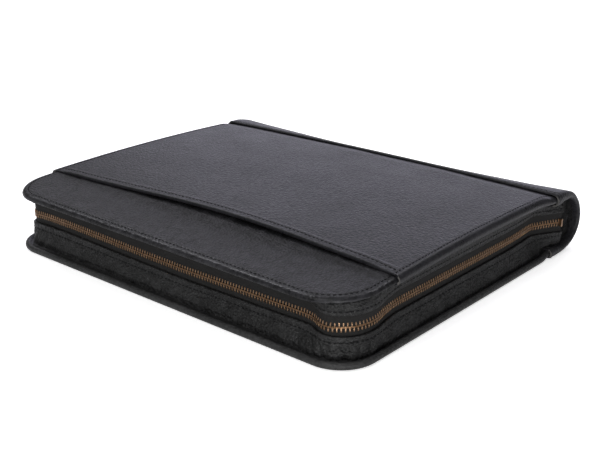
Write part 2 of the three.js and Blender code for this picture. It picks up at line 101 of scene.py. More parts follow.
# Fineness of the covers' meshes, and the inset from which their faces are flat
ROLL_STEPS = 9
CORNER_STEPS = 18
CUT_MARGIN = 14
CUT_STEP = 5.5
FLAT_INSET = 12

# Seeds of the leather's unevenness
COVER_SEED = 3
POCKET_SEED = 11
SPINE_SEED = 23

# Stitching; thread sinks its seam into the leather and stands a little proud of it
STITCH_INSET = 7.0
HEM_STITCH = 5.0
HINGE_STITCH = 3.6
GUSSET_STITCH = 3.0
STITCH_PITCH = 3.5
STITCH_LENGTH = 2.3
STITCH_SINK = 0.3
THREAD_W = 0.85
THREAD_PROUD = 0.2
SEAM_SWELL = 0.16

# Pocket, with a mouth that runs a little askew, bowed and gaping
MOUTH_LEFT_Y = NEAR_Y + 49.8
MOUTH_RIGHT_Y = NEAR_Y + 54.8
MOUTH_BOW = 4.2
MOUTH_LIFT = 2.3
MOUTH_LIFT_RUN = 60
GAPE_X = 22
GAPE_HALF = 170
HEM_DEPTH = 9
HEM_FADE = 30
HEM_ROUND = 0.65

# Outer line of the spine and, where they aren't 0, how far a point follows the cover's crown
# and its sag mid-length
SPINE_LINE = [
    {"y": HINGE_Y, "z": 51.2, "follow": 1, "sag": 0},
    {"y": 109, "z": 51.2, "follow": 1, "sag": 1.1},
    {"y": 116, "z": 50.9, "follow": 0.95, "sag": 3.4},
    {"y": 125, "z": 49, "follow": 0.9, "sag": 5},
    {"y": 134, "z": 45.6, "follow": 0.7, "sag": 4.6},
    {"y": 142, "z": 38, "follow": 0.4, "sag": 2},
    {"y": 146, "z": 30.5, "follow": 0.15, "sag": 0.5},
    {"y": NOSE_Y, "z": 24},
    {"y": 146, "z": 17.5},
    {"y": 141.5, "z": 10.5},
    {"y": 133, "z": 4.8},
    {"y": 121, "z": 1.8},
    {"y": 113, "z": 0.8},
    {"y": HINGE_Y, "z": 0.3},
]

# The spine's sewn edges: rounded, swelling a little, with a sunk seam
SPINE_EDGE_ROUND = 1.3
SPINE_EDGE_SWELL = 0.25
HINGE_SINK = 0.4

# The spine's ends along its line: a collar round each cover's rim, a turned hem between
SPINE_ENDS = [
    {"at": 0, "radius": 5.2, "end": 171.2},
    {"at": 6, "radius": 5.2, "end": 171.2},
    {"at": 16, "radius": 4, "end": 170.6},
    {"at": 28, "radius": 2.6, "end": 170},
    {"at": 44, "radius": 2, "end": 169.8},
    {"at": 70, "radius": 2, "end": 169.8},
    {"at": 90, "radius": 2.3, "end": 169.7},
    {"at": 101, "radius": 3.4, "end": 169.4},
    {"at": 106, "radius": 3.9, "end": 169.2},
]

# Zipped wall
SEAM_RECESS = 8.5
SEAM_R = {1: FRONT_CORNER_R - SEAM_RECESS, -1: 16}
WALL_END_Y = HINGE_Y + 19
FOOT_DROP_Y = BOARD_END_Y + 3
ZIP_Z = 25.5
GUSSET_EDGE = 8.2
TAPE_INSET = GUSSET_T + 2 * GAP
GUSSET_ROUND = 0.6
GUSSET_PROUD = 0.3
GUSSET_STEPS = [{"sink": 0.45, "start": 6.2, "end": 7.6}, {"sink": 1.8, "start": 8.4, "end": 11}]
TAPE_OVERLAP = 5
TAPE_BEAD = 0.9
BEAD_SWELL = 0.35
TUCKED_FOLD = 0.17
TEETH_MARGIN = 1.5
TOOTH_PITCH = 2.55
TOOTH_D = 2.2
TOOTH_BEVEL = 0.2

# Slope by which the teeth lean up at the near right corner, and where along the wall
TOOTH_LEAN = 0.15
LEAN_AT = 247
LEAN_WIDTH = 24

# A tooth from its head in the middle of the chain to the clenched leg on its tape: half its
# width along the zip, and its thickness as a share of TOOTH_D
TOOTH = [
    {"y": -0.5, "half": 0.45, "thick": 0.95},
    {"y": 0.35, "half": 0.58, "thick": 1},
    {"y": 0.9, "half": 0.4, "thick": 1.05},
    {"y": 1.4, "half": 0.43, "thick": 1.1},
    {"y": 2.0, "half": 0.46, "thick": 1.1},
    {"y": 2.5, "half": 0.46, "thick": 1.05},
    {"y": 2.95, "half": 0.4, "thick": 0.8},
]

# The zip along the wall from the right end: how far it is tucked in behind the sewn line,
# its height against ZIP_Z, how far under it the lower gusset starts, and how far that
# gusset's foot stands out of the sewn line
ZIP_LIE = [
    {"at": 0, "tuck": -7, "height": -1, "drop": 7.4, "foot": 5},
    {"at": 12, "tuck": -2, "height": -0.4, "drop": 7, "foot": 5},
    {"at": 28, "tuck": 4.5, "height": 0, "drop": 6.6, "foot": 5},
    {"at": 45, "tuck": 3, "height": 0, "drop": 6.4, "foot": 5},
    {"at": 62, "tuck": 2.2, "height": 0, "drop": 6.4, "foot": 5},
    {"at": 205, "tuck": 2.2, "height": 0, "drop": 6.4, "foot": 5},
    {"at": 217, "tuck": 0.6, "height": -0.4, "drop": 6.2, "foot": 5},
    {"at": 228, "tuck": -1.8, "height": -0.9, "drop": 5.8, "foot": 5},
    {"at": 245, "tuck": -1.2, "height": -1.2, "drop": 6, "foot": 5.5},
    {"at": 262, "tuck": 0.4, "height": -1.4, "drop": 5.4, "foot": 2.8},
    {"at": 268, "tuck": 2.6, "height": -1.4, "drop": 5.4, "foot": 1.2},
    {"at": 274, "tuck": 6, "height": -1.3, "drop": 5.4, "foot": 0},
    {"at": 280, "tuck": 9, "height": -1.2, "drop": 5.6, "foot": -0.6},
    {"at": 288, "tuck": 10.5, "height": -1.2, "drop": 5.8, "foot": -1},
    {"at": 310, "tuck": 10.5, "height": -1.4, "drop": 6.2, "foot": -1.5},
    {"at": 400, "tuck": 10.5, "height": -2, "drop": 6.6, "foot": -1.5},
    {"at": 455, "tuck": 10.5, "height": -1.1, "drop": 6.6, "foot": -1.5},
    {"at": 521, "tuck": 10.5, "height": 0.2, "drop": 6.6, "foot": -2.5},
    {"at": 545, "tuck": 10.5, "height": 0.2, "drop": 6.6, "foot": -2.5},
    {"at": 559, "tuck": 10.2, "height": 0, "drop": 6.6, "foot": -1.5},
    {"at": 565, "tuck": 8.6, "height": -0.3, "drop": 6.6, "foot": -0.5},
    {"at": 569, "tuck": 5.6, "height": -0.5, "drop": 6.6, "foot": 0},
    {"at": 573, "tuck": 1.4, "height": -0.5, "drop": 6.6, "foot": 0},
    {"at": 578, "tuck": -1.4, "height": -0.5, "drop": 6.6, "foot": 0},
    {"at": 605, "tuck": -1.5, "height": -0.5, "drop": 6.6, "foot": 0},
    {"at": 650, "tuck": 0, "height": 0, "drop": 8.6, "foot": 0},
]
LIE_BLUR = 2

# Leather folded across a spine end, in plan
SPINE_FOLD = [
    {"x": 163.5, "y": WALL_END_Y + 0.4}, {"x": 162.4, "y": WALL_END_Y + 3},
    {"x": 162, "y": 131}, {"x": 162.2, "y": 135}, {"x": 162.5, "y": 139}, {"x": 162.6, "y": 143},
]
FOLD_WAVES = [{"height": 1.3, "along": 2.1, "up": 5}, {"height": 0.9, "along": -1.7, "up": 11}]


def ease(value, start, end):
    share = min(1, max(0, (value - start) / (end - start)))
    return share * share * (3 - 2 * share)


def mix(a, b, share):
    return a + (b - a) * share


def spaced(start, end, step):
    count = max(1, round(abs(end - start) / step))
    return [mix(start, end, i / count) for i in range(count + 1)]


def ramp(value, start, whole):
    return max(0, (value - start) / (whole - start))


def table_at(rows, at, column):
    """A column of a table at a place, eased from row to row."""
    if at <= rows[0]["at"]:
        return rows[0][column]
    for before, after in zip(rows, rows[1:]):
        if at <= after["at"]:
            share = ease(at, before["at"], after["at"])
            return mix(before[column], after[column], share)
    return rows[-1][column]


def bump(value, centre, width):
    return math.exp(-((value - centre) / width) ** 2)


def run_lengths(points):
    """Distance along a line at each of its points."""
    lengths = [0]
    for a, b in zip(points, points[1:]):
        lengths.append(lengths[-1] + (b - a).length)
    return lengths


def array_lengths(line):
    """Distance along a line at each row of an array."""
    steps = np.linalg.norm(np.diff(line, axis=0), axis=1)
    return np.concatenate([[0], np.cumsum(steps)])


def round_over(depth, radius):
    """How far a rounded edge falls away at a depth from its end."""
    if depth >= radius:
        return 0
    return radius * (1 - math.sqrt(1 - (1 - depth / radius) ** 2))


def uneven(x, y, seed, wide=0.22, fine=0.06):
    """Slight unevenness of leather over a board."""
    return (wide * noise.noise(Vector((x / 42, y / 42, seed)))
            + fine * noise.noise(Vector((x / 13, y / 13, seed + 7))))


def front_top(x, y):
    """Outer face of the upper cover, before it thins out at the hinge."""
    across = 2 * x / LENGTH
    along = (y - NEAR_Y) / (HINGE_Y - NEAR_Y)
    inward = 1 - across ** 2
    crown = (COVER_CROWN + COVER_DOME * inward) * 4 * along * (1 - along)
    crown += HINGE_CROWN * along * inward
    return NEAR_TOP + REAR_RISE * along + crown + TWIST * across * (along - TWIST_PIVOT)


def front_height(x, y, up, r):
    """Height of the cover or of what wraps it: up is 1 on the outer face, r from its middle."""
    dip = HINGE_DIP * ramp(y, HINGE_DIP_Y, HINGE_Y)
    return front_top(x, y) - RIM_R + up * r - dip * (1 + up) / 2


def back_bottom(y):
    return BACK_LIFT * ramp(min(y, BOARD_END_Y), BACK_LIFT_Y, HINGE_Y)


def gape(x):
    """How far the pocket's mouth gapes at a place across it, from 0 to 1."""
    away = min(1, abs(x - GAPE_X) / GAPE_HALF)
    at_rim = ease(abs(x), COVER_HALF - HEM_FADE, COVER_HALF - RIM_R)
    return math.cos(away * math.pi / 2) ** 2 * (1 - at_rim)


def mouth_y(x):
    return mix(MOUTH_LEFT_Y, MOUTH_RIGHT_Y, x / LENGTH + 0.5) + MOUTH_BOW * gape(x)


# Materials

class Part:
    """A socket of a material; maths on sockets is written as plain arithmetic."""

    def __init__(self, paint, socket):
        self.paint = paint
        self.socket = socket

    def maths(self, operation, first, second):
        return self.paint.node("ShaderNodeMath", {"operation": operation}, {0: first, 1: second})

    def __add__(self, other):
        return self.maths("ADD", self, other)

    def __sub__(self, other):
        return self.maths("SUBTRACT", self, other)

    def __rsub__(self, other):
        return self.maths("SUBTRACT", other, self)

    def __mul__(self, other):
        return self.maths("MULTIPLY", self, other)

    __radd__ = __add__
    __rmul__ = __mul__


class Paint:
    """A material made from nodes."""

    def __init__(self, name):
        self.material = bpy.data.materials.new(name)
        self.material.use_nodes = True
        self.tree = self.material.node_tree
        self.tree.nodes.clear()

    def node(self, kind, settings=None, sockets=None, out=0):
        node = self.tree.nodes.new(kind)
        for name, value in (settings or {}).items():
            setattr(node, name, value)
        for name, value in (sockets or {}).items():
            if isinstance(value, Part):
                self.tree.links.new(value.socket, node.inputs[name])
            else:
                node.inputs[name].default_value = value
        return Part(self, node.outputs[out]) if node.outputs else None

    def place(self):
        return self.node("ShaderNodeTexCoord", out="Object")

    def attribute(self, name, out="Fac"):
        return self.node("ShaderNodeAttribute", {"attribute_name": name}, out=out)

    def noise(self, vector, scale, detail=3, rough=0.5):
        return self.node("ShaderNodeTexNoise", {}, {
            "Vector": vector, "Scale": scale, "Detail": detail, "Roughness": rough})

    def range(self, value, low, high):
        return self.node("ShaderNodeMapRange", {"interpolation_type": "SMOOTHSTEP"}, {
            "Value": value, "From Min": low, "From Max": high})

    def mix(self, factor, first, second):
        return self.node("ShaderNodeMix", {"data_type": "RGBA"}, {
            0: factor, 6: first, 7: second}, out=2)

    def close(self, color, rough, height=None, depth=0.0001, **constants):
        sockets = {"Base Color": color, "Roughness": rough}
        if height is not None:
            sockets["Normal"] = self.node("ShaderNodeBump", {}, {
                "Strength": 1.0, "Distance": depth, "Height": height})
        for name, value in constants.items():
            sockets[name.replace("_", " ")] = value
        shader = self.node("ShaderNodeBsdfPrincipled", {}, sockets)
        self.node("ShaderNodeOutputMaterial", {}, {"Surface": shader})
        return self.material


# Leather: how far the grain strays, in metres, and the upward part of a face's direction at
# which it is a turned edge or flat. The grain of a turned edge is pressed flatter
GRAIN_STRAY = 0.0011
EDGE_TURNED = 0.9
EDGE_FLAT = 0.99
EDGE_PRESS = 0.7

# Tape: length of one weave along the zip and across it, in metres
WEAVE_ALONG = 0.0009
WEAVE_ACROSS = 0.0013


def leather(name, dark, light, rough, grain, depth, sheen, mottle=0.25, polish=0):
    """Grained leather; grain is the size of one pebble in millimetres, and polish how much
    smoother it is where it turns over an edge."""
    paint = Paint(name)
    place = paint.place()
    stray = paint.node("ShaderNodeTexNoise", {}, {
        "Vector": place, "Scale": 600.0, "Detail": 2.0}, out="Color")
    bent = paint.node("ShaderNodeVectorMath", {"operation": "MULTIPLY_ADD"}, {
        0: stray, 1: (GRAIN_STRAY,) * 3, 2: place})
    pebble = paint.node("ShaderNodeTexVoronoi", {"feature": "SMOOTH_F1"}, {
        "Vector": bent, "Scale": 1000.0 / grain, "Smoothness": 0.3}, out="Distance")
    pores = paint.noise(place, 2600.0, 3, 0.6)
    grainy = paint.noise(place, 520.0, 4, 0.65)
    cloud = paint.noise(place, 26.0, 4, 0.55)
    patch = paint.noise(place, 140.0, 3, 0.6)
    height = (1 - pebble) * 0.8 + pores * 0.2 + patch * 0.5 + grainy * 0.7
    blend = cloud * 0.4 + patch * mottle + grainy * 0.5 - pebble * 0.2
    middle = 0.375 + mottle / 2
    tone = paint.range(blend, middle - 0.2, middle + 0.2)
    color = paint.mix(tone, dark, light)
    roughness = rough + (cloud - 0.5) * 0.2 + (grainy - 0.5) * 0.3 + pebble * 0.1
    if polish:
        facing = paint.node("ShaderNodeNewGeometry", out="Normal")
        upward = paint.node("ShaderNodeSeparateXYZ", {}, {0: facing}, out="Z")
        turned = 1 - paint.range(upward, EDGE_TURNED, EDGE_FLAT)
        roughness = roughness - turned * polish
        height = height * (1 - turned * EDGE_PRESS)
    return paint.close(color, roughness, height, depth, Specular_IOR_Level=sheen)


def raw_edge():
    paint = Paint("raw edge")
    fibre = paint.noise(paint.place(), 1900.0, 4, 0.65)
    color = paint.mix(fibre, (0.03, 0.029, 0.029, 1), (0.13, 0.125, 0.12, 1))
    return paint.close(color, 0.8 - fibre * 0.1, fibre, 0.0002, Specular_IOR_Level=0.2)


def woven_tape():
    paint = Paint("woven tape")
    lie = paint.attribute("weave", "Vector")

    def wave(axis, size):
        distance = paint.node("ShaderNodeSeparateXYZ", {}, {0: lie}, out=axis)
        return paint.node("ShaderNodeMath", {"operation": "SINE"}, {0: distance * (2 * math.pi / size)})

    weave = wave("X", WEAVE_ALONG) * wave("Y", WEAVE_ACROSS) * 0.5 + 0.5
    fuzz = paint.noise(paint.place(), 1500.0, 3, 0.6)
    color = paint.mix(weave * 0.6 + fuzz * 0.4,
                      (0.0055, 0.0053, 0.0052, 1), (0.0185, 0.0179, 0.0174, 1))
    return paint.close(color, 0.78 + fuzz * 0.15, weave + fuzz * 0.6, 0.00022,
                       Specular_IOR_Level=0.25)


def aged_brass(name, wear_and_shade=None):
    """Tarnished brass whose brightness is scaled by a share of wear and painted shade: one share for a
    whole piece, or the mesh's own attribute.
    """
    paint = Paint(name)
    place = paint.place()
    tarnish = paint.range(paint.noise(place, 420.0, 4, 0.6), 0.35, 0.7)
    scuff = paint.noise(place, 2400.0, 2, 0.5)
    bright = (1.15 - tarnish * 0.5) * (paint.attribute("wear_and_shade") if wear_and_shade is None else wear_and_shade)
    color = paint.mix(bright, (0.06, 0.029, 0.012, 1), (0.34, 0.212, 0.126, 1))
    return paint.close(color, 0.3 + tarnish * 0.12 + scuff * 0.1, scuff, 0.00003, Metallic=1.0)


def thread_paint():
    paint = Paint("thread")
    twist = paint.noise(paint.place(), 1800.0, 2, 0.5)
    color = paint.mix(twist, (0.003, 0.003, 0.0033, 1), (0.012, 0.012, 0.013, 1))
    return paint.close(color, 0.6 + twist * 0.2, twist, 0.0001, Specular_IOR_Level=0.12)


# The pocket and the spine are cut from one hide
HIDE = {"dark": (0.0095, 0.0094, 0.0108, 1), "light": (0.024, 0.0236, 0.027, 1),
        "rough": 0.39, "grain": 1.9, "depth": 0.00042, "sheen": 0.2}
POCKET = leather("pocket leather", polish=0.1, **HIDE)
SPINE_LEATHER = leather("spine leather", **HIDE)
COVER = leather("cover leather", (0.006, 0.0059, 0.0066, 1), (0.0265, 0.0261, 0.0292, 1),
                rough=0.39, grain=1.9, depth=0.0007, sheen=0.2, mottle=0.9, polish=0.13)
# Painted light: the lower cover's leather is a lighter, greyer copy of the cover leather, standing in
# for the floor's reflection and the front light on its rim
BACK = leather("back leather painted lighter", (0.016, 0.016, 0.0162, 1), (0.04, 0.04, 0.0404, 1),
               rough=0.4, grain=1.9, depth=0.0004, sheen=0.24)
GUSSET = leather("gusset leather", (0.0062, 0.0062, 0.0063, 1), (0.0205, 0.0205, 0.0207, 1),
                 rough=0.36, grain=1.9, depth=0.0009, sheen=0.27, mottle=0.9)
# Painted shade: the leather folded across the spine's ends is painted far darker than the gusset
# leather it continues, standing in for the shade deep in those folds
FOLD_SHADE_LEATHER = leather("fold leather painted dark", (0.003, 0.003, 0.003, 1), (0.009, 0.009, 0.009, 1),
                 rough=0.5, grain=1.6, depth=0.0008, sheen=0.12)
RAW = raw_edge()
TAPE = woven_tape()
BRASS = aged_brass("tooth brass")
FITTING_BRASS = aged_brass("fitting brass", wear_and_shade=0.7)
THREAD = thread_paint()


# Pieces

def finished(bm, name, materials, nodes=()):
    bmesh.ops.scale(bm, vec=(MM, MM, MM), verts=bm.verts)
    bmesh.ops.recalc_face_normals(bm, faces=bm.faces)
    for face in bm.faces:
        face.smooth = True
    mesh = bpy.data.meshes.new(name)
    bm.to_mesh(mesh)
    bm.free()
    return linked(mesh, name, materials, nodes)


def linked(mesh, name, materials, nodes=()):
    for material in materials:
        mesh.materials.append(material)
    piece = bpy.data.objects.new(name, mesh)
    bpy.context.scene.collection.objects.link(piece)
    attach(piece, "root")
    if nodes:
        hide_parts(*nodes)
    return piece


def thick_wall(columns, rows, place, lie=None):
    """A closed wall over a grid: place(column, row, side) with side 1 outside and 0 inside."""
    bm = bmesh.new()
    weave = bm.verts.layers.float_vector.new("weave") if lie else None
    for side in (1, 0):
        grid = bmesh.ops.create_grid(
            bm, x_segments=len(columns) - 1, y_segments=len(rows) - 1, size=1)
        for vert in grid["verts"]:
            column = columns[round((vert.co.x + 1) / 2 * (len(columns) - 1))]
            row = rows[round((vert.co.y + 1) / 2 * (len(rows) - 1))]
            vert.co = place(column, row, side)
            if lie:
                vert[weave] = lie(column, row)
    rim = [edge for edge in bm.edges if edge.is_boundary]
    for edge in rim:
        edge.smooth = False
    caps = bmesh.ops.bridge_loops(bm, edges=rim)["faces"]
    return bm, caps


def rolled(width, tall):
    """Rows of inset and rise over a quarter of a rolled rim."""
    angles = [math.pi / 2 * step / ROLL_STEPS for step in range(1, ROLL_STEPS + 1)]
    return [(width * (1 - math.cos(angle)), tall * math.sin(angle)) for angle in angles]


def cover_plate(low, high, corner, edge, outer_rows, inner_rows, height):
    """A board wrapped in leather between two corners in plan: rows of inset and rise from its
    outermost line, which lies at a height edge over the middle of its thickness."""
    middle = [(a + b) / 2 for a, b in zip(low, high)]
    bm = bmesh.new()
    bmesh.ops.create_grid(bm, x_segments=1, y_segments=1, size=1)
    bmesh.ops.scale(bm, vec=(high[0] - middle[0], high[1] - middle[1], 1), verts=bm.verts)
    bmesh.ops.translate(bm, vec=(*middle, edge), verts=bm.verts)
    corners = [vert for vert in bm.verts if vert.co.y < 0]
    bmesh.ops.bevel(bm, geom=corners, offset=corner, segments=CORNER_STEPS, profile=0.5,
                    affect="VERTICES", material=-1)
    bmesh.ops.duplicate(bm, geom=bm.verts[:] + bm.edges[:] + bm.faces[:])
    bm.faces.ensure_lookup_table()
    outer, inner = bm.faces[0], bm.faces[1]
    bmesh.ops.reverse_faces(bm, faces=[inner])
    for face, rows in ((outer, outer_rows), (inner, inner_rows)):
        inset, rise = 0, 0
        for next_inset, next_rise in rows:
            bmesh.ops.inset_region(bm, faces=[face], thickness=next_inset - inset,
                                   depth=next_rise - rise, use_boundary=True, use_even_offset=True)
            inset, rise = next_inset, next_rise
    bmesh.ops.remove_doubles(bm, verts=bm.verts, dist=0.01)
    cuts = []
    for axis, normal in enumerate(((1, 0, 0), (0, 1, 0))):
        places = spaced(low[axis] + CUT_MARGIN, high[axis] - CUT_MARGIN, CUT_STEP)
        cuts += [(at, normal) for at in places]
    for at, normal in cuts:
        bmesh.ops.bisect_plane(bm, geom=bm.verts[:] + bm.edges[:] + bm.faces[:], dist=0.05,
                               plane_co=Vector(normal) * at, plane_no=normal)
    for vert in bm.verts:
        vert.co.z = height(*vert.co)
    return bm


# Groove of the seam round the front cover, by distance from the stitches
CHANNEL = [(-0.7, -0.12), (-0.2, -0.34), (0.2, -0.34), (0.7, -0.12), (1.5, 0.02), (3.5, 0)]


def front_cover():
    def height(x, y, z):
        face = ease(z, 0, RIM_R)
        return front_height(x, y, z / RIM_R, RIM_R) + face * uneven(x, y, COVER_SEED)
    edge = RIM_PRESS - RIM_R + UNDER_ROLL
    above, below = RIM_R - edge, RIM_R + edge
    seam = STITCH_INSET - RIM_BACK
    outer = rolled(seam + CHANNEL[0][0], above + CHANNEL[0][1])
    outer += [(seam + away, above + rise) for away, rise in CHANNEL[1:]]
    inner = rolled(2, UNDER_ROLL) + [(4, UNDER_ROLL), (5.5, below), (FLAT_INSET, below)]
    bm = cover_plate((-COVER_HALF, NEAR_Y + RIM_BACK), (COVER_HALF - RIM_BACK, BOARD_END_Y),
                     FRONT_CORNER_R - RIM_BACK, edge, outer, inner, height)
    return finished(bm, "cover_leather_front", [COVER], ["front_cover"])


def back_cover():
    def height(x, y, z):
        return back_bottom(y) + RIM_R - z
    outer = rolled(RIM_R, RIM_R) + [(FLAT_INSET, RIM_R)]
    inner = rolled(RIM_R, RIM_R) + [(inset, RIM_R - sunk) for inset, sunk in GROOVE_ROWS]
    bm = cover_plate((BACK_LOW.x, BACK_LOW.y), (BACK_HIGH.x, BOARD_END_Y), BACK_CORNER_R, 0,
                     outer, inner, height)
    return finished(bm, "cover_leather_back", [BACK], ["back_cover"])


def mouth_lift(x, depth):
    return MOUTH_LIFT * gape(x) * (1 - ease(depth, 0, MOUTH_LIFT_RUN))


def pocket_face(x, y):
    """Radius of the pocket's outer face about the middle of the cover."""
    depth = y - mouth_y(x)
    edge = abs(x)
    stitch_x = SPINE_HALF - STITCH_INSET
    hem = (HEM_T - POCKET_T) * (1 - ease(depth, HEM_DEPTH - 1.5, HEM_DEPTH + 0.6))
    hem *= 1 - ease(edge, COVER_HALF - HEM_FADE, COVER_HALF - RIM_R)
    r = RIM_R + GAP + POCKET_T + mouth_lift(x, depth) + hem
    r -= round_over(depth, HEM_ROUND) * (1 - ease(edge, COVER_HALF - 6, COVER_HALF - RIM_R))
    r -= STITCH_SINK * bump(depth, HEM_STITCH, 0.6) * (1 - ease(edge, stitch_x - 5, stitch_x - 2))
    r -= STITCH_SINK * bump(edge, stitch_x, 0.65)
    r += SEAM_SWELL * bump(edge, stitch_x + 2.3, 1.2)
    return r + uneven(x, y, POCKET_SEED, 0.3, 0.07) * (1 - ease(edge, stitch_x - 12, stitch_x))


def pocket_top(x, y):
    return front_height(x, y, 1, pocket_face(x, y))


def front_pocket():
    centre = COVER_HALF - RIM_R
    stitch_x = SPINE_HALF - STITCH_INSET
    side = [(centre - lip, -90) for lip in (1.6, 0.8)]
    side += [(centre, angle) for angle in range(-90, 90, 12)]
    half = [abs(x) for x in spaced(0, stitch_x - 4, 4.2)]
    half += [stitch_x - d for d in (2.6, 1.5, 1.0, 0.5, 0, -0.5)] + [centre - POCKET_ROLL]
    columns = [(-x, angle) for x, angle in side] + [(-x, 90) for x in reversed(half[1:])]
    columns += [(x, 90) for x in half] + [(x, angle) for x, angle in reversed(side)]
    hem = [0, 0.08, 0.2, 0.4, 0.65, 1.0, 1.8, 3.2, 4.1, 4.5, 5.0, 5.5, 5.9, 6.8, 7.6, 8.4, 9.0,
           9.6, 11]
    rows = [(depth, 0) for depth in hem]
    rows += [(hem[-1], share) for share in spaced(0, 1, 1 / 42)[1:]]
    rear = [y - HINGE_DIP_Y for y in spaced(HINGE_DIP_Y + 2, POCKET_END_Y, 2)]
    rows += [(hem[-1] + beyond, 1) for beyond in rear]

    def place(column, row, outside):
        x, angle = column
        depth, share = row
        side = math.copysign(1, x)
        y = mix(mouth_y(x) + depth, HINGE_DIP_Y + depth - hem[-1], share)
        depth = y - mouth_y(x)
        up = math.sin(math.radians(angle))
        out = side * math.cos(math.radians(angle)) if abs(angle) < 90 else 0
        if angle == 90:
            r = pocket_face(x, y)
            if not outside:
                r = RIM_R + GAP + mouth_lift(x, depth) + 0.8 * round_over(depth, HEM_ROUND)
        else:
            r = RIM_R + GAP + (POCKET_T if outside else 0)
        z = front_height(x + out * RIM_R, y, up, r - RIM_PRESS if angle < 0 else r)
        if 0 < angle < 90:
            x -= POCKET_ROLL * (side - out)
        x += out * r
        if side > 0 and angle < 90:
            drawn_in = RIM_BACK * (1 - ease(y, HINGE_Y - 25, HINGE_Y))
            x -= drawn_in * (ramp(x, stitch_x + 0.5, SPINE_HALF) if angle > 0 else 1)
        return x, y, z

    bm, caps = thick_wall(columns, rows, place)
    for face in caps:
        middle = face.calc_center_median()
        if middle.y < 0 and abs(middle.x) > centre:
            face.material_index = 1
    return finished(bm, "pocket_leather", [POCKET, RAW], ["front_pocket"])


def spline(points, at):
    """Catmull-Rom curve through points, one unit from point to point."""
    last = len(points) - 1
    i = min(int(at), last - 1)
    w = at - i
    p0, p1, p2 = points[max(i - 1, 0)], points[i], points[i + 1]
    p3 = points[min(i + 2, last)]
    v0, v1 = (p2 - p0) / 2, (p3 - p1) / 2
    cube = 2 * p1 - 2 * p2 + v0 + v1
    square = 3 * p2 - 3 * p1 - 2 * v0 - v1
    return cube * w ** 3 + square * w ** 2 + v0 * w + p1


class SpineCurve:
    """The spine's outer line, by distance from its upper edge."""

    def __init__(self):
        columns = ("y", "z", "follow", "sag")
        self.points = [Vector([row.get(name, 0) for name in columns]) for row in SPINE_LINE]
        self.at = [i / 20 for i in range(20 * (len(self.points) - 1) + 1)]
        places = [self.flat(0, at) for at in self.at]
        self.lengths = run_lengths(places)
        self.length = self.lengths[-1]

    def flat(self, x, at):
        y, z, follow, sag = spline(self.points, at)
        rise = front_top(x, HINGE_Y) - (NEAR_TOP + REAR_RISE)
        slack = max(0, 1 - (2 * x / LENGTH) ** 2)
        return Vector((y, z + follow * rise - sag * slack))

    def place(self, x, distance):
        """Point of the outer face and the direction into the spine."""
        at = float(np.interp(distance, self.lengths, self.at))
        last = len(self.points) - 1
        run = self.flat(x, min(at + 0.02, last)) - self.flat(x, max(at - 0.02, 0))
        run.normalize()
        return self.flat(x, at), Vector((run.y, -run.x))


SPINE_CURVE = SpineCurve()


def inside_spine(x, y):
    """Lowest and highest point inside the spine at a place."""
    places = [SPINE_CURVE.place(x, d) for d in spaced(0, SPINE_CURVE.length, 1)]
    inside = [point + inward * SPINE_T for point, inward in places]
    crossed = [mix(a.y, b.y, (y - a.x) / (b.x - a.x)) for a, b in zip(inside, inside[1:])
               if (a.x - y) * (b.x - y) < 0]
    return min(crossed), max(crossed)


def spine_depth(x, distance):
    """How far the finished face lies inside the spine's outer line."""
    to_edge = min(distance, SPINE_CURVE.length - distance)
    sunk = 0.9 * round_over(to_edge, SPINE_EDGE_ROUND) + HINGE_SINK * bump(to_edge, HINGE_STITCH, 0.6)
    sunk -= SPINE_EDGE_SWELL * bump(to_edge, 1.6, 0.8)
    return sunk - uneven(x, distance, SPINE_SEED, 0.35, 0.08) * ease(to_edge, 6, 20)


def spine():
    arc = list(range(12, 181, 12))
    side = [(1, angle, 0) for angle in arc] + [(1, 180, 2.5), (1, 180, 5.5)]
    half = spaced(0, 1, 1 / 40)
    columns = [(-1, angle, lip) for _, angle, lip in reversed(side)]
    columns += [(-share, 0, 0) for share in reversed(half[1:])] + [(share, 0, 0) for share in half]
    columns += side
    start = [0, 0.12, 0.35, 0.7, 1.1, 1.6, 2.3, 3.0, 3.4, 3.8, 4.3, 5.2, 6.5, 8]
    length = SPINE_CURVE.length
    rows = start + spaced(10, length - 10, 2.2) + [length - d for d in reversed(start)]

    def place(column, distance, outside):
        share, angle, lip = column
        sign = math.copysign(1, share)
        radius = table_at(SPINE_ENDS, distance, "radius")
        centre = table_at(SPINE_ENDS, distance, "end") - radius
        x = share * centre
        point, inward = SPINE_CURVE.place(x, distance)
        thickness = mix(SPINE_T, WRAP_T, ease(abs(share), 0.94, 0.99))
        turn = math.radians(angle)
        r = radius if outside else radius - thickness
        sunk = spine_depth(x, distance) * (math.cos(turn) if outside and angle < 90 else 0)
        depth = radius - r * math.cos(turn) + sunk
        if not outside and angle == 0:
            depth = thickness
        x += sign * (r * math.sin(turn) - lip)
        spot = point + inward * depth
        return x, spot.x, spot.y

    bm, caps = thick_wall(columns, rows, place)
    for face in caps:
        middle = face.calc_center_median()
        if abs(middle.x) > SPINE_HALF - 4 and middle.y < HINGE_Y + 1:
            face.material_index = 1
    return finished(bm, "spine_leather", [SPINE_LEATHER, RAW], ["spine"])


# Zipped wall

def half_lengths(sign):
    """Lengths of the side, the corner and half the near edge of the sewn line, on one side."""
    r = SEAM_R[sign]
    side = WALL_END_Y - NEAR_Y - SEAM_RECESS - r
    return side, math.pi / 2 * r, COVER_HALF - SEAM_RECESS - r


WALL_LENGTH = sum(half_lengths(1)) + sum(half_lengths(-1))


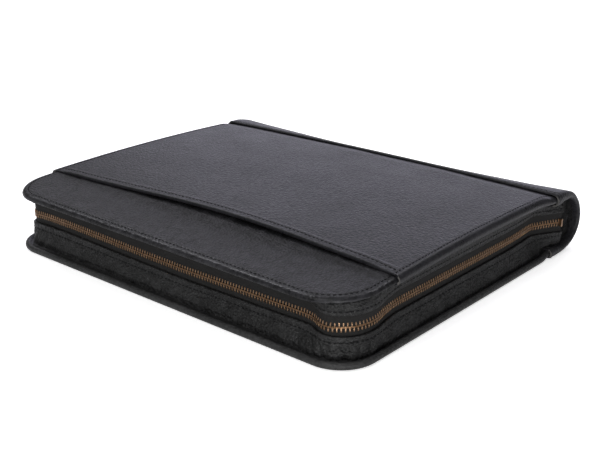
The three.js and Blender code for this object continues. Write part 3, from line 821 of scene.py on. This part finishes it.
def sewn_point(at):
    """Point of the sewn line, in plan, at a distance from its right end, and the way inwards."""
    sign = 1 if at <= sum(half_lengths(1)) else -1
    if sign < 0:
        at = WALL_LENGTH - at
    side, arc, _ = half_lengths(sign)
    r = SEAM_R[sign]
    x = COVER_HALF - SEAM_RECESS
    near = NEAR_Y + SEAM_RECESS
    if at <= side:
        point, inward = (x, WALL_END_Y - at), (-1, 0)
    elif at <= side + arc:
        angle = (at - side) / r
        point = (x - r + r * math.cos(angle), near + r - r * math.sin(angle))
        inward = (-math.cos(angle), math.sin(angle))
    else:
        point, inward = (x - r - (at - side - arc), near), (0, 1)
    return Vector((sign * point[0], point[1])), Vector((sign * inward[0], inward[1]))


def zip_lie(at, column):
    """A column of the zip's table at a place along the wall, its bends rounded."""
    spread = [at + LIE_BLUR * step for step in (-1.5, -0.75, 0, 0.75, 1.5)]
    places = [row["at"] for row in ZIP_LIE]
    return float(np.mean(np.interp(spread, places, [row[column] for row in ZIP_LIE])))


class WallLine:
    """The zip's own line round the case, by distance along the sewn line."""

    def __init__(self):
        self.at = spaced(0, WALL_LENGTH, 1)
        self.points, self.inward = [], []
        for at in self.at:
            point, inward = sewn_point(at)
            self.points.append(point + inward * zip_lie(at, "tuck"))
        for i in range(len(self.at)):
            run = self.points[min(i + 1, len(self.at) - 1)] - self.points[max(i - 1, 0)]
            run.normalize()
            self.inward.append(Vector((run.y, -run.x)))
        self.lengths = run_lengths(self.points)

    def evenly(self, inset, pitch, margin):
        """Places at an even pitch along the zip, at an inset from the wall's outer face."""
        line = np.array([p + n * inset for p, n in zip(self.points, self.inward)])
        runs = array_lengths(line)
        for distance in np.arange(margin + pitch / 2, runs[-1] - margin, pitch):
            at = np.interp(distance, runs, self.at)
            i = min(int(np.searchsorted(runs, distance)), len(runs) - 1)
            xy = [np.interp(distance, runs, line[:, k]) for k in (0, 1)]
            yield at, Vector(xy), self.inward[i]


ZIP_LINE = WallLine()

# Creases in the upper and lower gusset, most of them where the wall turns the near corners
UPPER_CREASES = [
    {"at": 258, "width": 1.6, "depth": 0.5, "lean": 0.2},
    {"at": 262, "width": 1.5, "depth": -0.7, "lean": -0.1},
    {"at": 265, "width": 0.8, "depth": 0.4, "lean": 0.1},
    {"at": 267, "width": 1.4, "depth": -0.9, "lean": 0.2},
    {"at": 271, "width": 1.6, "depth": 0.6, "lean": 0.3},
]
LOWER_CREASES = [
    {"at": 226, "width": 3.0, "depth": 0.7, "lean": 0.4},
    {"at": 236, "width": 1.8, "depth": 1.0, "lean": -0.5},
    {"at": 244, "width": 2.2, "depth": 1.2, "lean": 0.4},
    {"at": 251, "width": 1.6, "depth": 1.1, "lean": -0.3},
    {"at": 257, "width": 1.7, "depth": 1.4, "lean": 0.7},
    {"at": 264, "width": 1.6, "depth": 1.5, "lean": -0.4},
    {"at": 270, "width": 1.8, "depth": 1.4, "lean": 0.6},
    {"at": 278, "width": 2.0, "depth": 1.1, "lean": 0.9},
    {"at": 290, "width": 2.6, "depth": 0.8, "lean": 0.5},
    {"at": 318, "width": 4.0, "depth": 0.4, "lean": 0.7},
    {"at": 20, "width": 4.0, "depth": 0.9, "lean": 0.4},
    {"at": 34, "width": 3.5, "depth": 0.7, "lean": -0.5},
]

# Ripples of the gussets, how slack the upper one is against the lower, and the pucker of a foot
RIPPLES = [{"along": 9, "across": 6, "seed": 31, "height": 0.5},
           {"along": 4, "across": 4, "seed": 37, "height": 0.16}]
UPPER_SLACK = 0.35
PUCKER = 0.5

# Rows of a gusset's mesh, by depth from its free edge
GUSSET_DEPTHS = [0, 0.1, 0.3, 0.6, 0.9, 1.6, 2.3, 2.7, 3.0, 3.3, 3.7, 4.6, 5.8, 6.5, 7.2, 8.0, 8.8,
                 9.4, 10, 10.5, 11]


class Station:
    """One place along the zipped wall: its sewn point, its heights and the zip's lie there."""

    def __init__(self, at):
        self.at = at
        self.point, self.inward = sewn_point(at)
        self.zip_inward = ZIP_LINE.inward[min(int(round(at)), len(ZIP_LINE.at) - 1)]
        self.tuck = zip_lie(at, "tuck")
        self.zip = ZIP_Z + zip_lie(at, "height")
        self.top = front_height(self.point.x, self.point.y, -1, RIM_R) - GAP
        self.upper = self.zip + GUSSET_EDGE + TUCKED_FOLD * max(0, self.tuck)
        self.lower = self.zip - zip_lie(at, "drop")
        self.out = zip_lie(at, "foot")
        self.foot = back_bottom(self.point.y) + 2 * RIM_R + GAP - GROOVE
        past_board = ramp(self.point.y, FOOT_DROP_Y, WALL_END_Y)
        if past_board:
            self.foot = mix(self.foot, inside_spine(*self.point)[0] + 2 * GAP, past_board)

    def place(self, z, inset):
        """A point of the wall at a height; inset is towards the inside."""
        upper = (self.top - z) / (self.top - self.upper)
        lower = min(1, max(0, (z - self.foot) / (self.lower - self.foot)))
        share = max(0, min(upper, lower))
        turned = self.inward.lerp(self.zip_inward, share).normalized()
        back = self.tuck * share * (1.6 - 0.6 * share) - self.out * (1 - lower) ** 2
        spot = self.point + self.inward * back + turned * inset
        return spot.x, spot.y, z

    def gusset_ends(self, sign):
        """Heights of a gusset's free edge and of its sewn edge."""
        return (self.upper, self.top) if sign > 0 else (self.lower, self.foot)

    def gusset_height(self, sign, depth):
        """Height on a gusset at a depth from its free edge."""
        return mix(*self.gusset_ends(sign), depth / GUSSET_DEPTHS[-1])

    def gusset_depth(self, sign, z):
        edge, end = self.gusset_ends(sign)
        return max(0, (z - edge) / (end - edge)) * GUSSET_DEPTHS[-1]


def creased(sign, at, depth):
    """How far creases and ripples sink a gusset's face at a depth from its free edge."""
    half = min(at, WALL_LENGTH - at)
    sunk = 0
    for row in UPPER_CREASES if sign > 0 else LOWER_CREASES:
        sunk += row["depth"] * bump(half + row["lean"] * (depth - 6), row["at"], row["width"])
    ripple = 0
    for row in RIPPLES:
        spot = Vector((at / row["along"], depth / row["across"], row["seed"]))
        ripple += noise.noise(spot) * row["height"]
    pucker = (0.5 + 0.5 * math.sin(2 * math.pi * at / STITCH_PITCH)) * ease(depth, 8, 10)
    slack = 1 if sign < 0 else UPPER_SLACK
    return (sunk + slack * ripple) * ease(depth, 2, 6) + PUCKER * slack * pucker


def gusset_face(depth):
    """How far the gusset's outer face lies inside the wall's face at a depth from its free edge."""
    steps = sum(row["sink"] * ease(depth, row["start"], row["end"]) for row in GUSSET_STEPS)
    seam = STITCH_SINK * bump(depth, GUSSET_STITCH, 0.55)
    return steps + round_over(depth, GUSSET_ROUND) + seam - GUSSET_PROUD


STATIONS = [Station(at) for at in spaced(0, WALL_LENGTH, 1.2)]


def gusset(name, sign, node):
    def place(station, depth, outside):
        inset = gusset_face(depth) + creased(sign, station.at, depth)
        if not outside:
            inset = max(inset, 0) + GUSSET_T
        return station.place(station.gusset_height(sign, depth), inset)

    bm, _ = thick_wall(STATIONS, GUSSET_DEPTHS, place)
    return finished(bm, name, [GUSSET], [node])


def zip_tape(name, sign, node):
    rows = [(TAPE_BEAD, 0), (1.3, 0), (2.2, 0), (3.2, 0), (5, 0), (GUSSET_EDGE, 0)]
    rows += [(GUSSET_EDGE, behind) for behind in spaced(0, TAPE_OVERLAP, 1)[1:]]

    def shown(station):
        """Width of tape that shows between the chain's middle and the gusset."""
        return abs(station.gusset_ends(sign)[0] - station.zip)

    def place(station, row, outside):
        depth, behind = row
        z = station.zip + sign * (depth * shown(station) / GUSSET_EDGE + behind)
        thicker = BEAD_SWELL * (1 - ease(depth, 1.3, 2.4))
        inset = TAPE_INSET - thicker if outside else TAPE_INSET + TAPE_T + thicker
        if behind:
            inset += max(0, creased(sign, station.at, station.gusset_depth(sign, z)))
        return station.place(z, inset)

    def lie(station, row):
        return np.interp(station.at, ZIP_LINE.at, ZIP_LINE.lengths) * MM, sum(row) * MM, 0

    bm, _ = thick_wall(STATIONS, rows, place, lie)
    piece = finished(bm, name, [TAPE], [node])
    wide = np.mean([shown(station) for station in STATIONS]) - TAPE_BEAD + TAPE_OVERLAP
    return piece


def repeated(template, frames, name, materials, nodes=(), smooth=True, wear_and_shade=None):
    """One mesh holding a copy of a small template at every frame; a function of y and z sets how bright
    its metal is, from wear and painted shade.
    """
    template.verts.index_update()
    base = np.array([vert.co for vert in template.verts])
    faces = [[vert.index for vert in face.verts] for face in template.faces]
    template.free()
    points, polygons = [], []
    for number, matrix in enumerate(frames):
        turned = base @ np.array(matrix.to_3x3()).T + np.array(matrix.translation)
        points.append(turned * MM)
        polygons += [[index + number * len(base) for index in face] for face in faces]
    mesh = bpy.data.meshes.new(name)
    mesh.from_pydata(np.concatenate(points).tolist(), [], polygons)
    mesh.polygons.foreach_set("use_smooth", [smooth] * len(mesh.polygons))
    if wear_and_shade:
        values = np.tile([wear_and_shade(y, z) for y, z in base[:, 1:3]], len(frames))
        mesh.attributes.new("wear_and_shade", "FLOAT", "POINT").data.foreach_set("value", values)
    return linked(mesh, name, materials, nodes)


def axes(origin, along, out):
    """A frame at origin with X along and Z out."""
    along = Vector(along).normalized()
    out = Vector(out)
    out = (out - along * out.dot(along)).normalized()
    side = out.cross(along)
    matrix = Matrix((along, side, out)).transposed().to_4x4()
    matrix.translation = origin
    return matrix


def tooth_size(y, column):
    """A column of the tooth's table at a height over the middle of the chain."""
    return float(np.interp(y, [row["y"] for row in TOOTH], [row[column] for row in TOOTH]))


def tooth():
    """A zip tooth standing on the upper tape: X along the zip, Y up, Z out."""
    low, high = TOOTH[0]["y"], TOOTH[-1]["y"]
    bm = bmesh.new()
    bmesh.ops.create_cube(bm, size=1)
    bmesh.ops.scale(bm, vec=(2, high - low, TOOTH_D), verts=bm.verts)
    bmesh.ops.translate(bm, vec=(0, (high + low) / 2, 0), verts=bm.verts)
    for row in TOOTH[1:-1]:
        bmesh.ops.bisect_plane(bm, geom=bm.verts[:] + bm.edges[:] + bm.faces[:],
                               plane_co=(0, row["y"], 0), plane_no=(0, 1, 0))
    for vert in bm.verts:
        vert.co.x *= tooth_size(vert.co.y, "half")
        vert.co.z *= tooth_size(vert.co.y, "thick")
    long_edges = [e for e in bm.edges if abs(e.verts[0].co.y - e.verts[1].co.y) > 0.1]
    bmesh.ops.bevel(bm, geom=long_edges, offset=TOOTH_BEVEL, segments=2, profile=0.5,
                    affect="EDGES", material=-1)
    return bm


def tooth_wear_and_shade(y, z):
    """How bright a tooth's brass is: worn brightest on its leg and on its outer face, while its sides
    back from the outer face are painted darker as the shade of the gaps between the teeth.
    """
    return (0.4 + 0.6 * ease(y, 0.6, 1.4)) * (0.15 + 0.85 * ease(z, 0.6, 1.1))


def zip_teeth():
    frames = []
    places = ZIP_LINE.evenly(TAPE_INSET + TAPE_T / 2, TOOTH_PITCH / 2, TEETH_MARGIN)
    for number, (at, spot, inward) in enumerate(places):
        out = Vector((-inward.x, -inward.y, TOOTH_LEAN * bump(at, LEAN_AT, LEAN_WIDTH)))
        up = Vector((0, 0, 1 if number % 2 else -1))
        z = ZIP_Z + zip_lie(at, "height")
        frames.append(axes((spot.x, spot.y, z), up.cross(out), out))
    return repeated(tooth(), frames, "zip_teeth", [BRASS], ["zip_chain"],
                    smooth=False, wear_and_shade=tooth_wear_and_shade)


def stitch():
    bm = bmesh.new()
    bmesh.ops.create_uvsphere(bm, u_segments=6, v_segments=6, radius=0.5,
                              matrix=Matrix.Rotation(math.pi / 2, 4, "Y"))
    bmesh.ops.scale(bm, vec=(STITCH_LENGTH, THREAD_W, THREAD_W * 0.8), verts=bm.verts)
    return bm


def stitch_frames(points, normals):
    """Frames for stitches at an even pitch along a line."""
    line = np.array(points, float)
    normals = np.array(normals, float)
    runs = array_lengths(line)
    frames = []
    for distance in np.arange(STITCH_PITCH / 2, runs[-1], STITCH_PITCH):
        spot, ahead, out = [
            np.array([np.interp(d, runs, table[:, k]) for k in range(3)])
            for d, table in ((distance, line), (distance + 0.5, line), (distance, normals))]
        frames.append(axes(Vector(spot), Vector(ahead - spot), Vector(out)))
    return frames


def flat_stitches(points):
    return stitch_frames(points, [(0, 0, 1)] * len(points))


def cover_stitches():
    half = SPINE_HALF - STITCH_INSET
    near = NEAR_Y + STITCH_INSET
    r = FRONT_CORNER_R - STITCH_INSET
    inner = COVER_HALF - STITCH_INSET
    corner = [(inner - r + r * math.cos(a), near + r - r * math.sin(a))
              for a in spaced(0, math.pi / 2, 0.08)]
    left = -inner - RIM_BACK
    plan = [(inner, y) for y in spaced(mouth_y(inner) - 1, near + r, 3)] + corner
    plan += [(x, near) for x in spaced(inner - r, left + r, 4)]
    plan += [(-x - RIM_BACK, y) for x, y in reversed(corner)]
    plan += [(left, y) for y in spaced(near + r, mouth_y(left) - 1, 3)]
    points = [(x, y, front_height(x, y, 1, RIM_R) - 0.1 + uneven(x, y, COVER_SEED)) for x, y in plan]
    frames = flat_stitches(points)
    for x in (half, -half):
        ys = spaced(mouth_y(x) + 1, HINGE_Y - 0.5, 2)
        frames += flat_stitches([(x, y, pocket_top(x, y) + THREAD_PROUD) for y in ys])
    return repeated(stitch(), frames, "edge_stitches", [THREAD])


def hem_stitches():
    half = SPINE_HALF - STITCH_INSET - 3
    plan = [(x, mouth_y(x) + HEM_STITCH) for x in spaced(-half, half, 2)]
    frames = flat_stitches([(x, y, pocket_top(x, y) + THREAD_PROUD) for x, y in plan])
    return repeated(stitch(), frames, "hem_stitches", [THREAD])


def spine_stitches():
    frames = []
    for distance in (HINGE_STITCH, SPINE_CURVE.length - HINGE_STITCH):
        points, normals = [], []
        for x in spaced(-SPINE_HALF + 4, SPINE_HALF - 4, 3):
            point, inward = SPINE_CURVE.place(x, distance)
            spot = point + inward * (spine_depth(x, distance) - THREAD_PROUD)
            points.append((x, spot.x, spot.y))
            normals.append((0, -inward.x, -inward.y))
        frames += stitch_frames(points, normals)
    return repeated(stitch(), frames, "spine_stitches", [THREAD])


def gusset_stitches():
    frames = []
    for sign in (1, -1):
        points, normals = [], []
        for station in STATIONS[1:-1]:
            z = station.gusset_height(sign, GUSSET_STITCH)
            points.append(station.place(z, gusset_face(GUSSET_STITCH) - 0.15))
            normals.append((-station.zip_inward.x, -station.zip_inward.y, 0))
        frames += stitch_frames(points, normals)
    return repeated(stitch(), frames, "gusset_stitches", [THREAD])


def spine_end(name, sign, node):
    plan = [Vector((row["x"], row["y"])) for row in SPINE_FOLD]
    columns = spaced(0, len(plan) - 1, 0.2)
    rows = spaced(0, 1, 1 / 18)
    lines = {}
    for at in columns:
        point = spline(plan, at)
        run = spline(plan, min(at + 0.05, len(plan) - 1)) - spline(plan, max(at - 0.05, 0))
        run.normalize()
        lines[at] = point, Vector((run.y, -run.x)), inside_spine(sign * point.x, point.y)

    def place(at, share, outside):
        point, side, (low, high) = lines[at]
        z = mix(low + 0.5, high - 0.5, share)
        slack = math.sin(math.pi * share)
        fold = sum(wave["height"] * math.sin(at * wave["along"] + share * wave["up"])
                   for wave in FOLD_WAVES)
        fold *= slack * ease(at, 0.2, 1.2)
        spot = point + side * ((GUSSET_T if outside else 0) + fold)
        return sign * spot.x, spot.y, z

    bm, _ = thick_wall(columns, rows, place)
    # Its leather is painted dark as the shade of the deep fold
    return finished(bm, name, [FOLD_SHADE_LEATHER], [node])


def keep_solid(node, material):
    """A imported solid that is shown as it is, with its finish."""
    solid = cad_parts[node]
    solid.data.materials.clear()
    solid.data.materials.append(material)


front_cover()
back_cover()
front_pocket()
spine()
gusset("gusset_upper", 1, "upper_gusset")
gusset("gusset_lower", -1, "lower_gusset")
zip_tape("tape_upper", 1, "upper_zip_tape")
zip_tape("tape_lower", -1, "lower_zip_tape")
zip_teeth()
cover_stitches()
hem_stitches()
spine_stitches()
gusset_stitches()
spine_end("spine_fold_right", 1, "spine_end_right")
spine_end("spine_fold_left", -1, "spine_end_left")
keep_solid("zip_end_stop", FITTING_BRASS)
keep_solid("zip_slider", FITTING_BRASS)


# Floor, light and camera

LAMPS = [
    {"name": "key", "at": (-1.6, 0.45, 2.0), "width": 1.0, "depth": 1.0, "power": 25,
     "tint": (0.95, 0.94, 1)},
    {"name": "back", "at": (0, 1.0, 1.5), "width": 0.7, "depth": 0.6, "power": 9,
     "tint": (0.95, 0.94, 1)},
    {"name": "front", "at": (0.1, -1.0, 1.4), "width": 1.0, "depth": 1.0, "power": 7.5},
    {"name": "backdrop", "at": (-1.0, 2.0, 0.55), "width": 2.4, "depth": 0.8, "power": 11,
     "tint": (0.84, 0.82, 1)},
    {"name": "camera side", "at": (0.65, -0.95, 0.75), "width": 0.5, "depth": 0.4, "power": 1.8},
    {"name": "low front", "at": (0.96, -0.98, 0.12), "width": 0.9, "depth": 0.2, "power": 9},
    {"name": "left", "at": (-1.2, -1.1, 0.45), "width": 1.0, "depth": 0.6, "power": 1.5},
]
WHITE = (1, 1, 1)
SKY = 0.14

# The floor's glow for the camera and for all other rays, and its half size
FLOOR_SHOWN = 0.6
FLOOR_GLOW = 0.19
FLOOR_HALF = 8

# Camera: its lens in millimetres, where it stands, how far it looks down and is turned
LENS = 63.04
SENSOR = 36
CAMERA_AT = (0.503491, -0.57752, 0.304425)
CAMERA_DOWN = 20.724
CAMERA_TURN = 40.621


def floor_paint():
    paint = Paint("floor")
    cloud = paint.noise(paint.place(), 3.0, 2, 0.5)
    color = paint.mix(cloud, (0.88, 0.88, 0.88, 1), (0.9, 0.9, 0.9, 1))
    seen = paint.node("ShaderNodeLightPath", out="Is Camera Ray")
    glow = paint.mix(seen, (*[FLOOR_GLOW] * 3, 1), (*[FLOOR_SHOWN] * 3, 1))
    return paint.close(color, 0.9, Specular_IOR_Level=0.1, Emission_Color=glow,
                       Emission_Strength=1.0)


def studio():
    scene = bpy.context.scene
    scene.view_settings.view_transform = "Standard"
    bm = bmesh.new()
    bmesh.ops.create_grid(bm, x_segments=1, y_segments=1, size=FLOOR_HALF)
    mesh = bpy.data.meshes.new("floor")
    bm.to_mesh(mesh)
    bm.free()
    mesh.materials.append(floor_paint())
    floor = bpy.data.objects.new("floor", mesh)
    scene.collection.objects.link(floor)

    world = bpy.data.worlds.new("studio")
    scene.world = world
    world.use_nodes = True
    sky = world.node_tree.nodes["Background"]
    sky.inputs["Color"].default_value = (*WHITE, 1)
    sky.inputs["Strength"].default_value = SKY

    for lamp in LAMPS:
        light = bpy.data.lights.new(lamp["name"], "AREA")
        light.shape = "RECTANGLE"
        light.size = lamp["width"]
        light.size_y = lamp["depth"]
        light.energy = lamp["power"]
        light.color = lamp.get("tint", WHITE)
        holder = bpy.data.objects.new(lamp["name"], light)
        holder.location = lamp["at"]
        holder.rotation_euler = (-holder.location).to_track_quat("-Z", "Y").to_euler()
        scene.collection.objects.link(holder)

    lens = bpy.data.cameras.new("camera")
    lens.sensor_fit = "HORIZONTAL"
    lens.sensor_width = SENSOR
    lens.lens = LENS
    camera = bpy.data.objects.new("camera", lens)
    camera.location = CAMERA_AT
    camera.rotation_euler = (math.radians(90 - CAMERA_DOWN), 0, math.radians(CAMERA_TURN))
    scene.collection.objects.link(camera)
    scene.camera = camera


studio()
